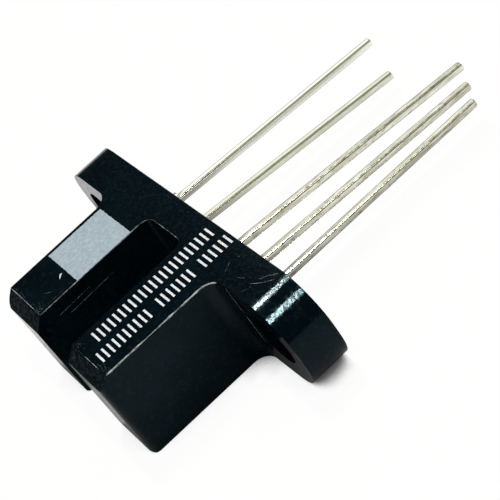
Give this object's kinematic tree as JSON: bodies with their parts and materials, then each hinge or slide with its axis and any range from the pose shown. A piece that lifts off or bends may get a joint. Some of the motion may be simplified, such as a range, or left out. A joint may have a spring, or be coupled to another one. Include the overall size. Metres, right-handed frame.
{
  "type": "slotted photo interrupter",
  "caption": "Slotted optical switch with two mounting ears, a tower on each side of the slot and leads out of the lead side, lying on its back.",
  "frame": {"origin": "midway between the two mounting holes, on the lead side of the flange and at half the housing's depth", "axes": "+Y the way the leads point, X along the flange from hole to hole, +Z out of the front face; it lies on its back face"},
  "size_m": [0.0246, 0.0272, 0.0064],
  "materials": {
    "housing": "fine satin, moulded black",
    "mark": "matt pale grey paint",
    "clear_resin": "clear moulded resin",
    "dark_resin": "dark infrared-passing resin",
    "emitter_chip": "polished semiconductor",
    "detector_chip": "polished semiconductor",
    "die_attach": "matt silver-filled epoxy",
    "bond_wire": "bright gold",
    "lead": "dull tinned metal",
    "seal": "matt black epoxy"
  },
  "bodies": {
    "root": {"housing": "housing", "emitter_mark": "mark", "emitter_package": "clear_resin", "emitter_chip": "emitter_chip", "emitter_die_attach": "die_attach", "emitter_bond_wire": "bond_wire", "emitter_anode_lead": "lead", "emitter_cathode_lead": "lead", "emitter_seal": "seal", "detector_package": "dark_resin", "detector_chip": "detector_chip", "detector_die_attach": "die_attach", "supply_bond_wire": "bond_wire", "output_bond_wire": "bond_wire", "ground_bond_wire": "bond_wire", "supply_lead": "lead", "output_lead": "lead", "ground_lead": "lead", "detector_seal": "seal"}
  },
  "joints": []
}
